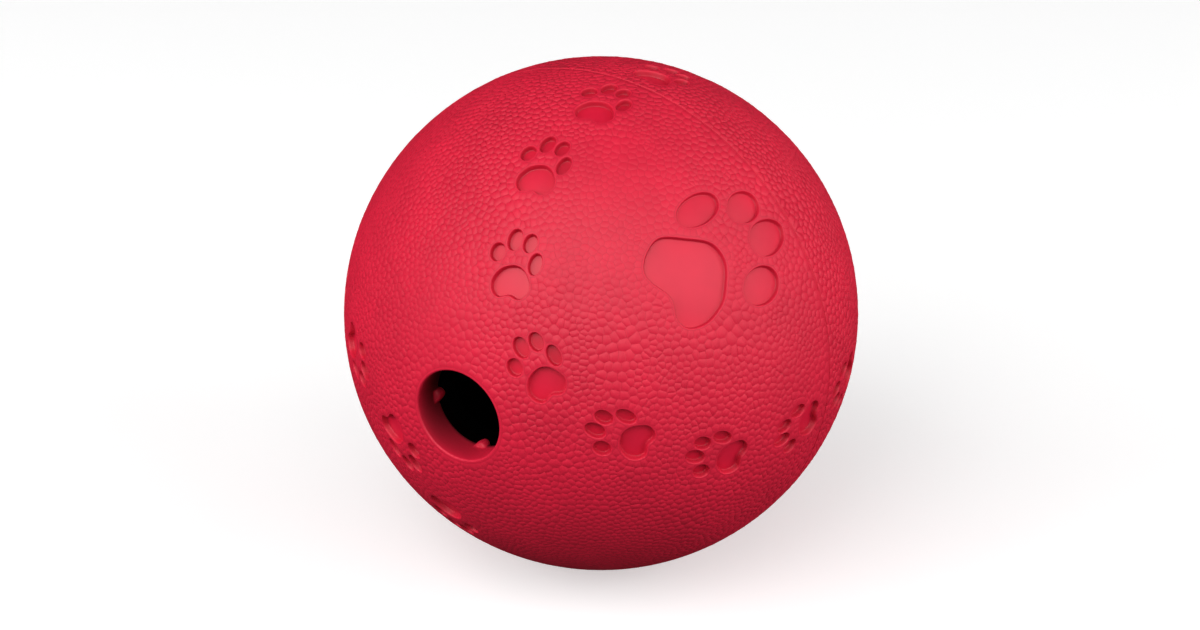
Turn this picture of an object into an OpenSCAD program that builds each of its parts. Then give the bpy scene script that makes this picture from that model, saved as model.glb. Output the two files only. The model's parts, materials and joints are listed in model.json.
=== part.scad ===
// Treat dispensing ball: a hollow rubber ball moulded in two halves and cemented
// at the seam. Three rubber discs inside divide the hollow into four chambers
// whose ports are staggered, so that treats find their way out a few at a time.
// A trail of small paw prints and four large ones are sunk into the skin.
//
// Units are millimetres. The origin is the ball's centre and +Z is up. The treat
// hole faces -Y, and the seam lies in the XZ plane. The modules below are drawn
// with the hole facing +Z and are turned into place by face_front().

/* [Ball] */
// Outside diameter of the ball
ball_d = 70; // [60:1:110]
// Thickness of the rubber wall
wall_t = 4.5; // [3.5:0.25:6]
// Thickness of the cement layers
cement_t = 0.3; // [0.2:0.05:0.6]
// How far the cement line stands out of the skin at the seam
seam_proud = 0.02; // [0:0.02:0.3]

/* [Treat hole] */
// Diameter of the treat hole
hole_d = 12.4; // [10:0.2:14]
// Radius of the rounded edge at the mouth of the hole
rim_r = 0.4; // [0.4:0.1:1.5]
// Number of nubs that hold the treats back
nub_count = 4; // [2:1:5]
// Diameter of a nub, which is a round post half sunk into the wall of the hole
nub_d = 2.3; // [2.2:0.1:3]
// How far a nub stands into the hole
nub_reach = 1; // [0.8:0.1:1.6]
// Height of a nub along the hole
nub_h = 1.7; // [1.2:0.1:2]
// Turn of the first nub about the hole, in degrees
nub_turn = 6; // [0:1:90]

/* [Labyrinth] */
// Thickness of the three discs
disc_t = 2.4; // [1.6:0.2:3]
// Diameter of the port through each disc
port_d = 14; // [12.6:0.2:16]
// Direction of the front disc's port about the hole, in degrees
port_turn = 223; // [0:1:359]

/* [Prints] */
// Depth of the small prints
small_depth = 0.8; // [0.4:0.1:1.2]
// Depth of the large prints
large_depth = 0.9; // [0.4:0.1:1.2]
// Direction of the trail's first lobe about the hole, in degrees
lobe_turn = 38.2; // [0:0.1:90]
// Rise of the trail's lobes above the seam, as a share of the ball's radius
lobe_rise = 0.912; // [0.88:0.002:0.92]
// Turn of the other three lobes past their even places about the hole, in degrees
lobe_slip = -2; // [-3:0.5:3]

/* [Hidden] */
$fn = 96;

ball_r = ball_d / 2;
cavity_r = ball_r - wall_t;
// How far a cutting body runs past what it cuts
over = 1;
// The prints keep the size that they have on a 70 mm ball in proportion
print_k = ball_d / 70;

// Treat hole: straight wall between the rounded mouth and a flared inner edge, with
// the nubs' tops a little below the start of the flare
hole_r = hole_d / 2;
rim_z = sqrt(pow(ball_r - rim_r, 2) - pow(hole_r + rim_r, 2));
hole_inner_z = sqrt(pow(cavity_r, 2) - pow(hole_r, 2));
flare_h = 1;
flare_w = 0.4;
flare_z = hole_inner_z + flare_h;
nub_drop = 0.2;

// Labyrinth: the outer discs rest against ledges, which root in the wall, and the
// middle one lies in a seat that is cut into the wall at the seam
ledge_z = 0.4 * ball_r;
ledge_t = 2;
ledge_root = 0.5;
ledge_inner_r = 0.7 * ball_r;
disc_r = 0.8 * ball_r;
seat_w = 1;
seam_disc_r = cavity_r + seat_w;
port_r = port_d / 2;
port_offset = 0.386 * ball_r;

// Trail: 28 prints, seven to a lobe, evenly spaced along a closed curve that
// swings over the seam four times, as the seam of a tennis ball does
PRINTS = 28;
PER_LOBE = 7;
lobe_a = (1 + sqrt(1 - pow(lobe_rise, 2))) / 2;
lobe_b = 1 - lobe_a;
trail_steps = 360;

// Small print, in mm: toes as [x, y, width, height, taper], pad as an outline
small_toes = [
    [-2.8, 1.3, 2.0, 2.35, 0], [-1.0, 3.3, 1.9, 2.8, 0],
    [1.1, 3.25, 1.8, 2.45, 0], [2.5, 0.85, 1.7, 2.8, 0]
];
small_pad = [
    [0.1, 0.1], [1.5, -0.45], [2.55, -2.1], [2.2, -3.4], [1.3, -3.95],
    [0.1, -3.65], [-1.3, -4.15], [-2.3, -3.4], [-2.5, -2.1], [-1.6, -0.6]
];
// The prints of a lobe are set by hand: spin in degrees, then shift in mm
lobe_spins = [-4, -16, 0, -8, -16, 0, 8];
lobe_shifts = [[0, -0.5], [-0.2, -0.5], [0.2, 0], [-0.6, 0], [0.1, -0.2], [0.3, 0.3], [1, 0]];

// Large print, in mm, drawn the same way; one stands inside each lobe
large_toes = [
    [-6.4, 0.1, 3.9, 6.8, 0], [-3.5, 6.3, 4.1, 5.4, 0],
    [1.4, 7.1, 4.5, 6.4, 0.12], [6.1, 2.3, 4.7, 6.1, 0]
];
large_pad = [
    [-0.4, -0.75], [1.6, -1.1], [3.6, -2.5], [5.2, -4.1], [6.2, -7], [5.6, -9.5], [3.8, -10.4],
    [1, -9.7], [-2, -10.8], [-3.8, -10.7], [-5.4, -9], [-6, -6.6], [-4, -3.6], [-2.2, -1.4]
];
large_theta = 70;

// Closed curve through the points p, with the given number of steps to a point
function knot(p, i) = p[(i + len(p)) % len(p)];
function bend(a, b, c, d, t) =
    b + (c - a) * t / 2 + (a - 2.5 * b + 2 * c - d / 2) * t * t
    + (1.5 * (b - c) + (d - a) / 2) * t * t * t;
function smooth(p, steps) = [
    for (i = [0 : len(p) - 1], j = [0 : steps - 1])
        bend(knot(p, i - 1), knot(p, i), knot(p, i + 1), knot(p, i + 2), j / steps)
];

// Egg-shaped outline: an ellipse that narrows towards its top by the taper
function egg(w, h, taper, sides) = [
    for (i = [0 : sides - 1])
        let (a = 360 * i / sides) [w / 2 * cos(a) * (1 - taper * sin(a)), h / 2 * sin(a)]
];

// Point and direction of the trail on a unit ball, where t runs round from 0 to 360
function trail(t) = [
    lobe_a * cos(t) + lobe_b * cos(3 * t),
    lobe_a * sin(t) - lobe_b * sin(3 * t),
    lobe_rise * sin(2 * t)
];
function trail_way(t) = trail(t + 0.05) - trail(t - 0.05);

// Length along the trail, as pairs of length and t, and the t of print number k
trail_lengths = [
    for (i = 0, s = 0; i <= trail_steps;
         s = s + norm(trail((i + 1) * 360 / trail_steps) - trail(i * 360 / trail_steps)), i = i + 1)
        [s, i * 360 / trail_steps]
];
trail_length = trail_lengths[trail_steps][0];
function trail_t(k) = lookup(
    ((k / PRINTS + 1 / 8) % 1) * trail_length, trail_lengths
);

// Place of print k: angle from the hole's axis, turn about it, spin about its middle
function theta_of(k) = acos(trail(trail_t(k))[2]);
function phi_of(k) = let (p = trail(trail_t(k))) atan2(p[1], p[0]) - 45 + lobe_turn;
function spin_of(k) =
    let (
        p = trail(trail_t(k)),
        w = trail_way(trail_t(k)),
        flat = norm([p[0], p[1]]),
        east = [-p[1], p[0], 0] / flat,
        north = cross(p, east)
    )
    atan2(w * north, w * east);

// Turns a shape drawn with the hole facing +Z to the hole's real direction
module face_front() {
    rotate([90, 0, 0]) children();
}

// Carries a print drawn flat to its place on the skin, its toes towards the spin
module on_skin(theta, phi, spin) {
    rotate([0, 0, phi]) rotate([0, theta, 0]) rotate([0, 0, spin]) children();
}

// The column of one print, which runs from inside the wall to outside the skin
module print_column(toes, pad, toe_sides) {
    translate([0, 0, cavity_r]) linear_extrude(wall_t + over) {
        polygon(smooth(pad, 2) * print_k);
        for (t = toes)
            translate([t[0], t[1]] * print_k)
                polygon(egg(t[2], t[3], t[4], toe_sides) * print_k);
    }
}

// Small prints of one lobe, whose middle print is number k
module lobe_prints(middle) {
    for (i = [0 : PER_LOBE - 1]) {
        k = middle + i - 3;
        shift = lobe_shifts[i] * print_k / ball_r * 180 / PI;
        on_skin(theta_of(k), phi_of(k), spin_of(k) + lobe_spins[i])
            rotate([-shift[1], shift[0], 0])
                print_column(small_toes, small_pad, 12);
    }
}

// Large print inside the lobe that lies on the given side
module large_print(theta, phi, spin) {
    on_skin(theta, phi, spin) print_column(large_toes, large_pad, 16);
}

// Half of the hollow ball above the seam, with its ledge and its disc seats. It is a
// body of revolution; the turn keeps the start of its round faces clear of the prints
module half_wall(turn) {
    rotate([0, 0, turn]) difference() {
        union() {
            difference() {
                sphere(r = ball_r);
                sphere(r = cavity_r);
            }
            intersection() {
                sphere(r = cavity_r + ledge_root);
                translate([0, 0, ledge_z]) difference() {
                    cylinder(r = cavity_r, h = ledge_t);
                    translate([0, 0, -over]) cylinder(r = ledge_inner_r, h = ledge_t + 2 * over);
                }
            }
        }
        translate([0, 0, -ball_d]) cylinder(r = ball_d, h = ball_d + cement_t / 2);
        cylinder(r = seam_disc_r, h = disc_t / 2);
        translate([0, 0, ledge_z - cement_t - disc_t]) cylinder(r = disc_r, h = disc_t + cement_t);
    }
}

// Ball that the prints' floors lie on
module floor_ball(depth, turn) {
    rotate([0, 0, turn]) sphere(r = ball_r - depth);
}

// Space of the treat hole: straight bore, rounded mouth and flared inner edge
module hole_space() {
    cylinder(r = hole_r, h = ball_d);
    translate([0, 0, flare_z - 2 * flare_h])
        cylinder(r1 = hole_r + 2 * flare_w, r2 = hole_r, h = 2 * flare_h);
    rotate_extrude() difference() {
        polygon([
            [0, rim_z], [hole_r + rim_r, rim_z],
            [hole_r + rim_r, rim_z] * (ball_r + over) / (ball_r - rim_r), [0, ball_r + over]
        ]);
        translate([hole_r + rim_r, rim_z]) circle(r = rim_r);
    }
}

// Nubs round the inner edge of the hole
module nubs() {
    for (i = [0 : nub_count - 1])
        rotate([0, 0, nub_turn + i * 360 / nub_count])
            translate([hole_r - nub_reach + nub_d / 2, 0, flare_z - nub_drop - nub_h])
                cylinder(d = nub_d, h = nub_h);
}

// Disc with one port
module labyrinth_disc(r, turn) {
    difference() {
        cylinder(r = r, h = disc_t);
        rotate([0, 0, turn]) translate([port_offset, 0, -over])
            cylinder(r = port_r, h = disc_t + 2 * over);
    }
}

// Flat ring of cement
module cement_ring(outer_r, inner_r) {
    difference() {
        cylinder(r = outer_r, h = cement_t);
        translate([0, 0, -over]) cylinder(r = inner_r, h = cement_t + 2 * over);
    }
}

module front_shell() {
    clear_turn = lobe_turn + 90;
    color("crimson") face_front() {
        difference() {
            half_wall(clear_turn);
            hole_space();
            difference() {
                union() {
                    lobe_prints(0);
                    rotate([0, 0, lobe_slip]) lobe_prints(2 * PER_LOBE);
                }
                floor_ball(small_depth, clear_turn);
            }
            difference() {
                union() {
                    large_print(large_theta, lobe_turn, -90);
                    large_print(large_theta, lobe_turn + lobe_slip + 180, -90);
                }
                floor_ball(large_depth, clear_turn);
            }
        }
        nubs();
    }
}

module rear_shell() {
    clear_turn = lobe_turn;
    color("crimson") face_front() difference() {
        mirror([0, 0, 1]) half_wall(clear_turn);
        difference() {
            rotate([0, 0, lobe_slip]) {
                lobe_prints(PER_LOBE);
                lobe_prints(3 * PER_LOBE);
            }
            floor_ball(small_depth, clear_turn);
        }
        difference() {
            for (side = [90, 270])
                large_print(180 - large_theta, lobe_turn + lobe_slip + side, 90);
            floor_ball(large_depth, clear_turn);
        }
    }
}

module seam_cement() {
    color("firebrick") face_front() translate([0, 0, -cement_t / 2])
        cement_ring(ball_r + seam_proud, seam_disc_r);
}

module front_disc() {
    color("black") face_front() translate([0, 0, ledge_z - cement_t - disc_t])
        labyrinth_disc(disc_r, port_turn);
}

module seam_disc() {
    color("black") face_front() translate([0, 0, -disc_t / 2])
        labyrinth_disc(seam_disc_r, port_turn + 180);
}

module rear_disc() {
    color("black") face_front() translate([0, 0, cement_t - ledge_z])
        labyrinth_disc(disc_r, port_turn);
}

module front_disc_cement() {
    color("dimgray") face_front() translate([0, 0, ledge_z - cement_t])
        cement_ring(disc_r, ledge_inner_r);
}

module rear_disc_cement() {
    color("dimgray") face_front() translate([0, 0, -ledge_z])
        cement_ring(disc_r, ledge_inner_r);
}

front_shell();
rear_shell();
seam_cement();
front_disc();
seam_disc();
rear_disc();
front_disc_cement();
rear_disc_cement();
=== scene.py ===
"""Treat dispensing ball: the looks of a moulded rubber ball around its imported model.

The ball is two rubber halves cemented at the seam. Its skin is a grain of small convex
pebbles with narrow grooves between them, into which paw prints are sunk. Each half is
made here as one closed mesh of real relief: the pebbles are the cells of a Voronoi
pattern on the ball, and each print is a smooth floor with a steep, rounded wall.

Lengths are millimetres in the row's frame: the origin is the ball's centre, +Z is up
and the treat hole faces -Y. Meshes are turned to metres as they are handed to Blender.
"""
import json
import logging
import math
from dataclasses import dataclass
from enum import Enum

import bpy
import numpy as np
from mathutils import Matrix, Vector
from mathutils.geometry import delaunay_2d_cdt


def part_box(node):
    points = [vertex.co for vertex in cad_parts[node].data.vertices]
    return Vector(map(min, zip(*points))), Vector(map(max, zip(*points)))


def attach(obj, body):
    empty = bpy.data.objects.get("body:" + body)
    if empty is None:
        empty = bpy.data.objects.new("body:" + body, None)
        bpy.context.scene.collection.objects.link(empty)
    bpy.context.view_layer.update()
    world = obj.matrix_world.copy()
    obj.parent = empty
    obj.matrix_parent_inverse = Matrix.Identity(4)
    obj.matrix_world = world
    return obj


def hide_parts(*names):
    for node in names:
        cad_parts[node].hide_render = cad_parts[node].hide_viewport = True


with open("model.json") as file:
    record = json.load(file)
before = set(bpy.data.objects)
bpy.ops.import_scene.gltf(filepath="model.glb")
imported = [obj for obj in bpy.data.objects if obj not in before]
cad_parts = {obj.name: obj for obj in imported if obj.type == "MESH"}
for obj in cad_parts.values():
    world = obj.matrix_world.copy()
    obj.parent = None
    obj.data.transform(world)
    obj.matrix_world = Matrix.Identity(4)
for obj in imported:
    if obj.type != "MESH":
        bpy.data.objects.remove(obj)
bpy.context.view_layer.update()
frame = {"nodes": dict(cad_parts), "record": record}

LOG = logging.getLogger("treat_ball")
MM = 0.001
ROOT = "root"
FAR = 99.0  # stands for every gap that is too wide to matter, in mm
NEARBY = 2.0  # how far past a print's reach the gap to it is still measured, in mm
RUBBER_WALL = 4.5  # thickness of the halves' wall in mm, which no node's box shows
SHARP_TURN = 62.0  # an edge where the faces turn by more degrees is shaded sharp
SAME_PLACE = 1e-8  # flat points nearer together than this are one
TINY = 1e-9  # stands in for a divisor of 0
FEWEST = 6  # least number of points in an evenly stepped loop
LOBE_TOP = 45.0  # how far round the trail's curve the first lobe's top is, in degrees
AHEAD = 1e-4  # step along that curve that shows its direction, in radians
GRID_AREA = 0.866  # area that each point of a triangle grid has, for points 1 apart
PAD_STRETCH = 2.2  # length that each stretch between a pad's points is meshed for, in mm
FRAME_WIDTH = 36.0  # width of the camera's frame, in mm
NEAREST = 0.01  # nearest place that the camera sees, in m

Curve = tuple[tuple[float, ...], tuple[float, ...]]  # places and the values there


class Slot(Enum):
    """Names of the record's material slots for the pieces made here, which the script doesn't assign."""

    RED = "red_rubber"
    SEAM = "seam_rubber"


class Region(Enum):
    """What lies past the edge of the pebbles, besides the prints, which count from 0."""

    PEBBLE = -1
    MOUTH = -2
    SEAM = -3


class Trait(Enum):
    """What each point of a surface says about itself, from 0 to 1."""

    GROOVE_SHADE = "groove"  # painted shade: 1 at a groove's bottom, up to 1 on the prints' walls and low prints' floors
    CELL = "cell"  # a shade that all points of one pebble share
    POLISH = "polish"  # 1 on the smooth floors of the prints, 0 on the grain
    HOLLOW_SHADE = "film"  # painted shade in the hole and on the prints' walls, up to 1


HOLLOW_SHADE_COLUMN = list(Trait).index(Trait.HOLLOW_SHADE)


def unit(v: np.ndarray) -> np.ndarray:
    """Scales vectors to length one.

    Args:
        v: vectors along the last axis.

    Returns:
        The unit vectors.
    """
    return v / np.linalg.norm(v, axis=-1, keepdims=True)


def inside_loops(points: np.ndarray, starts: np.ndarray, ends: np.ndarray) -> np.ndarray:
    """Tells which flat points lie inside closed loops, by counting the edges to their right.

    Args:
        points: N flat points.
        starts: where each of the loops' edges starts.
        ends: where each of the loops' edges ends.

    Returns:
        N truth values.
    """
    x, y = points[:, None, 0], points[:, None, 1]
    ax, ay, bx, by = starts[:, 0], starts[:, 1], ends[:, 0], ends[:, 1]
    spans = (ay > y) != (by > y)
    rise = np.where(by == ay, 1.0, by - ay)
    return (spans & (x < ax + (y - ay) * (bx - ax) / rise)).sum(1) % 2 == 1


def edge_distance(points: np.ndarray, starts: np.ndarray, ends: np.ndarray) -> np.ndarray:
    """Measures how far flat points are from the nearest of some straight edges.

    Args:
        points: N flat points.
        starts: where each edge starts.
        ends: where each edge ends.

    Returns:
        N distances.
    """
    way = ends - starts
    off = points[:, None, :] - starts[None]
    along = (off * way).sum(-1) / np.maximum((way * way).sum(-1), TINY)
    rest = off - np.clip(along, 0.0, 1.0)[..., None] * way
    return np.sqrt((rest * rest).sum(-1).min(1))


def triangulate(points: np.ndarray, edges: np.ndarray | None = None) -> np.ndarray:
    """Joins flat points into Delaunay triangles that keep the given edges.

    Args:
        points: N flat points.
        edges: pairs of point numbers that have to be sides of triangles.

    Returns:
        Rows of three point numbers, counter-clockwise.
    """
    sides = [] if edges is None else [tuple(e) for e in edges.tolist()]
    places = [Vector(p) for p in points.tolist()]
    made = delaunay_2d_cdt(places, sides, [], 0, SAME_PLACE, True)  # 0 asks for all triangles
    source = np.array([ids[0] if ids else -1 for ids in made[3]])
    rows = source[np.array(made[2])]
    rows = rows[(rows >= 0).all(1)]
    a, b, c = points[rows[:, 0]], points[rows[:, 1]], points[rows[:, 2]]
    turn = (b[:, 0] - a[:, 0]) * (c[:, 1] - a[:, 1]) - (b[:, 1] - a[:, 1]) * (c[:, 0] - a[:, 0])
    return np.where(turn[:, None] < 0, rows[:, ::-1], rows)


@dataclass
class Surface:
    """Points and faces of one stretch of a piece, in mm, with some traits at each point.

    Attributes:
        points: N places.
        faces: arrays of M rows of three or four point numbers.
        traits: N rows with one column for each Trait.
    """

    points: np.ndarray
    faces: list[np.ndarray]
    traits: np.ndarray

    @staticmethod
    def plain(points: np.ndarray, faces: list[np.ndarray]) -> "Surface":
        """Makes a surface with no painted groove shade, a middling cell shade, no polish and no painted
        hollow shade.
        """
        return Surface(points, faces, np.tile([0.0, 0.5, 0.0, 0.0], (len(points), 1)))


def weld(parts: list[Surface]) -> Surface:
    """Joins surfaces and merges the points that they share.

    Args:
        parts: the surfaces. Points at the same place, to a millionth of a mm, become one.

    Returns:
        One surface.
    """
    base = np.cumsum([0] + [len(p.points) for p in parts[:-1]])
    points = np.concatenate([p.points for p in parts])
    traits = np.concatenate([p.traits for p in parts])
    places = np.round(points, 6) + 0.0  # adding 0.0 makes each -0.0 a 0.0
    _, first, number = np.unique(places, axis=0, return_index=True, return_inverse=True)
    number = number.reshape(-1)
    faces = [number[f + b] for p, b in zip(parts, base) for f in p.faces]
    return Surface(points[first], faces, traits[first])


def make_piece(name: str, surface: Surface, material: bpy.types.Material) -> bpy.types.Object:
    """Puts a surface into a Blender mesh, in metres, with its traits as attributes.

    Args:
        name: the piece's name.
        surface: points and faces in mm.
        material: the finish of the whole piece.

    Returns:
        The linked object, at the origin.
    """
    corners = [f.reshape(-1) for f in surface.faces]
    sizes = [np.full(len(f), f.shape[1]) for f in surface.faces]
    loops, totals = np.concatenate(corners), np.concatenate(sizes)
    mesh = bpy.data.meshes.new(name)
    mesh.vertices.add(len(surface.points))
    mesh.vertices.foreach_set("co", (surface.points * MM).astype(np.float32).reshape(-1))
    mesh.loops.add(len(loops))
    mesh.loops.foreach_set("vertex_index", loops.astype(np.int32))
    mesh.polygons.add(len(totals))
    starts = np.concatenate([[0], np.cumsum(totals)[:-1]])
    mesh.polygons.foreach_set("loop_start", starts.astype(np.int32))
    mesh.polygons.foreach_set("use_smooth", np.ones(len(totals), dtype=bool))
    mesh.update(calc_edges=True)
    for trait, values in zip(Trait, surface.traits.T):
        layer = mesh.attributes.new(trait.value, "FLOAT", "POINT")
        layer.data.foreach_set("value", values.astype(np.float32))
    mesh.materials.append(material)
    mesh.set_sharp_from_angle(angle=math.radians(SHARP_TURN))
    piece = bpy.data.objects.new(name, mesh)
    bpy.context.scene.collection.objects.link(piece)
    triangles = int((totals - 2).sum())
    LOG.info("%s: %d points, %d triangles", name, len(surface.points), triangles)
    return piece


@dataclass(frozen=True)
class BallSizes:
    """Sizes of the ball, in mm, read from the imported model.

    Attributes:
        radius: outside radius.
        wall: thickness of the rubber.
        cement: thickness of the cement at the seam.
        proud: how far the cement stands out of the skin.
        hole: radius of the treat hole's straight wall.
        disc_seat: radius of the outer discs.
        seam_seat: radius of the seam disc.
        seat: lowest height of an outer disc above the seam.
        disc: thickness of a disc.
    """

    radius: float
    wall: float
    cement: float
    proud: float
    hole: float
    disc_seat: float
    seam_seat: float
    seat: float
    disc: float

    @staticmethod
    def from_frame() -> "BallSizes":
        """Reads the sizes from the nodes' boxes and the record's treat hole.

        Returns:
            The sizes, to a thousandth of a mm.
        """
        low, high = (np.array(c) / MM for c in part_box("rear_shell"))
        cement_low, cement_high = (np.array(c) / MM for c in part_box("seam_cement"))
        disc_low, disc_high = (np.array(c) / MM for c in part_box("front_disc"))
        seam_high = np.array(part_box("seam_disc")[1]) / MM
        mounts = {m["name"]: m for m in frame["record"]["mounts"]}
        return BallSizes(
            radius=round(float(high[1]), 3),
            wall=RUBBER_WALL,
            cement=round(float(cement_high[1] - cement_low[1]), 3),
            proud=round(float(cement_high[0] - high[1]), 3),
            hole=mounts["treat_hole"]["dims"]["r_mm"],
            disc_seat=round(float(disc_high[0]), 3),
            seam_seat=round(float(seam_high[0]), 3),
            seat=round(float(-disc_high[1]), 3),
            disc=round(float(disc_high[1] - disc_low[1]), 3),
        )

    @property
    def cavity(self) -> float:
        """Inside radius of the wall."""
        return self.radius - self.wall


def outward(loop: np.ndarray) -> np.ndarray:
    """Gives the unit vectors square to a counter-clockwise loop, out of it, at its points."""
    way = np.roll(loop, -1, axis=0) - np.roll(loop, 1, axis=0)
    return unit(np.stack([way[:, 1], -way[:, 0]], 1))


def even_steps(loop: np.ndarray, step: float) -> np.ndarray:
    """Spaces a closed loop's points evenly.

    Args:
        loop: flat points.
        step: rough distance between neighbouring points.

    Returns:
        The new points.
    """
    closed = np.concatenate([loop, loop[:1]])
    length = np.concatenate([[0.0], np.cumsum(np.linalg.norm(np.diff(closed, axis=0), axis=1))])
    count = max(int(round(length[-1] / step)), FEWEST)
    at = np.linspace(0.0, length[-1], count, endpoint=False)
    return np.stack([np.interp(at, length, closed[:, k]) for k in (0, 1)], 1)


@dataclass(frozen=True)
class PawShape:
    """Outline of a paw print, in mm: x to the right, y towards the toes.

    Attributes:
        toes: each toe's middle x and y, width, height and taper. Its outline is an
            ellipse that narrows towards its top by the taper.
        pad: points that the pad's outline passes through, as a closed smooth curve.
        depth: how far the floor lies below the skin.
        reach: radius round the print's middle that holds all of it.
        wall_step: distance between neighbouring points along the wall.
        floor_step: distance between neighbouring points of the floor.
    """

    toes: tuple[tuple[float, float, float, float, float], ...]
    pad: tuple[tuple[float, float], ...]
    depth: float
    reach: float
    wall_step: float
    floor_step: float

    def outlines(self, step: float = 0.12) -> list[np.ndarray]:
        """Draws the toes and the pad as closed counter-clockwise loops.

        A toe at angle a is x + w/2 cos a (1 - taper sin a), y + h/2 sin a. The pad is
        the Catmull-Rom curve through its points.

        Args:
            step: rough distance between neighbouring points.

        Returns:
            One array of points for each loop.
        """
        loops = []
        for x, y, w, h, taper in self.toes:
            count = int(math.pi * (w + h) / 2 / step)
            a = np.linspace(0.0, 2.0 * math.pi, count, endpoint=False)
            across = w / 2 * np.cos(a) * (1 - taper * np.sin(a))
            loops.append(np.stack([x + across, y + h / 2 * np.sin(a)], 1))
        p = np.array(self.pad)[::-1]
        t = np.linspace(0.0, 1.0, int(PAD_STRETCH / step), endpoint=False)[None, :, None]
        a, b, c, d = (np.roll(p, k, axis=0)[:, None, :] for k in (1, 0, -1, -2))
        curve = (
            b + (c - a) * t / 2 + (a - 2.5 * b + 2 * c - d / 2) * t * t
            + (1.5 * (b - c) + (d - a) / 2) * t * t * t
        )
        loops.append(curve.reshape(-1, 2))
        return loops


SMALL_PAW = PawShape(
    toes=(
        (-2.8, 1.3, 2.0, 2.35, 0.0), (-1.0, 3.3, 1.9, 2.8, 0.0),
        (1.1, 3.25, 1.8, 2.45, 0.0), (2.5, 0.85, 1.7, 2.8, 0.0),
    ),
    pad=(
        (0.1, 0.1), (1.5, -0.45), (2.55, -2.1), (2.2, -3.4), (1.3, -3.95),
        (0.1, -3.65), (-1.3, -4.15), (-2.3, -3.4), (-2.5, -2.1), (-1.6, -0.6),
    ),
    depth=0.8,
    reach=6.2,
    wall_step=0.32,
    floor_step=0.9,
)
LARGE_PAW = PawShape(
    toes=(
        (-6.4, 0.1, 3.9, 6.8, 0.0), (-3.5, 6.3, 4.1, 5.4, 0.0),
        (1.4, 7.1, 4.5, 6.4, 0.12), (6.1, 2.3, 4.7, 6.1, 0.0),
    ),
    pad=(
        (-0.4, -0.75), (1.6, -1.1), (3.6, -2.5), (5.2, -4.1), (6.2, -7.0), (5.6, -9.5),
        (3.8, -10.4), (1.0, -9.7), (-2.0, -10.8), (-3.8, -10.7), (-5.4, -9.0),
        (-6.0, -6.6), (-4.0, -3.6), (-2.2, -1.4),
    ),
    depth=0.6,
    reach=13.5,
    wall_step=0.42,
    floor_step=1.3,
)


class Print:
    """One paw print on the ball, with the flat map that its outline is drawn on."""

    def __init__(self, shape: PawShape, middle: np.ndarray, up: np.ndarray, radius: float) -> None:
        """Sets the print on the ball.

        Args:
            shape: the outline.
            middle: unit vector to the print's middle.
            up: unit vector along the skin, towards the toes.
            radius: the ball's radius.
        """
        self.shape = shape
        self.middle = middle
        self.up = unit(up - (up @ middle) * middle)
        self.right = np.cross(self.up, self.middle)
        self.radius = radius
        self.loops = shape.outlines()

    def shifted(self, dx: float, dy: float) -> "Print":
        """Moves the print over the ball by dx to its right and dy towards its toes."""
        middle = unit(self.middle + (dx * self.right + dy * self.up) / self.radius)
        return Print(self.shape, middle, self.up, self.radius)

    def spun(self, degrees: float) -> "Print":
        """Turns the print about its own middle.

        Args:
            degrees: the turn, anticlockwise as seen from outside.

        Returns:
            The turned print.
        """
        spin = math.radians(degrees)
        up = math.cos(spin) * self.up - math.sin(spin) * self.right
        return Print(self.shape, self.middle, up, self.radius)

    def to_map(self, way: np.ndarray) -> np.ndarray:
        """Maps directions to the flat map, which keeps distance and bearing from its middle.

        Args:
            way: directions.

        Returns:
            A flat point for each, at the length of the arc from the middle.
        """
        x, y, z = way @ self.right, way @ self.up, way @ self.middle
        far = np.hypot(x, y)
        scale = self.radius * np.arctan2(far, z) / np.maximum(far, TINY)
        return np.stack([x * scale, y * scale], -1)

    def from_map(self, flat: np.ndarray) -> np.ndarray:
        """Maps flat points back to directions.

        Args:
            flat: points of the flat map.

        Returns:
            The direction whose arc from the middle is as long as each point's distance.
        """
        far = np.hypot(flat[:, 0], flat[:, 1])
        angle = far / self.radius
        share = (np.sin(angle) / np.maximum(far, TINY))[:, None]
        side = flat[:, :1] * self.right + flat[:, 1:] * self.up
        return np.cos(angle)[:, None] * self.middle + share * side

    def gap_on_map(self, flat: np.ndarray) -> np.ndarray:
        """Measures the gap from flat points to the outline.

        Args:
            flat: points of the flat map.

        Returns:
            The gap for each, negative inside a toe or the pad.
        """
        best = np.full(len(flat), FAR)
        for loop in self.loops:
            ends = np.roll(loop, -1, axis=0)
            gap = edge_distance(flat, loop, ends)
            best = np.minimum(best, np.where(inside_loops(flat, loop, ends), -gap, gap))
        return best

    def gap(self, way: np.ndarray) -> np.ndarray:
        """Measures the gap from directions to the outline.

        Args:
            way: directions.

        Returns:
            The gap for each, FAR where the print is far off.
        """
        out = np.full(len(way), FAR)
        near = way @ self.middle > math.cos((self.shape.reach + NEARBY) / self.radius)
        if near.any():
            out[near] = self.gap_on_map(self.to_map(way[near]))
        return out

    def offset_loops(self, offset: float, step: float) -> list[np.ndarray]:
        """Draws the outline moved outwards by an offset, evenly stepped.

        Args:
            offset: distance outwards, negative inwards.
            step: distance between neighbouring points.

        Returns:
            One array of flat points for each loop.
        """
        return [even_steps(loop + offset * outward(loop), step) for loop in self.loops]

    def rings(self, offsets: tuple[float, ...], step: float) -> list[np.ndarray]:
        """Draws the outline and its offsets with the same points in step on each.

        Args:
            offsets: distances outwards, negative inwards.
            step: distance between neighbouring points on the outline.

        Returns:
            For each loop an array of offsets by points by 2.
        """
        out = []
        for loop in self.loops:
            even = even_steps(loop, step)
            out.append(even + np.array(offsets)[:, None, None] * outward(even))
        return out


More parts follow.
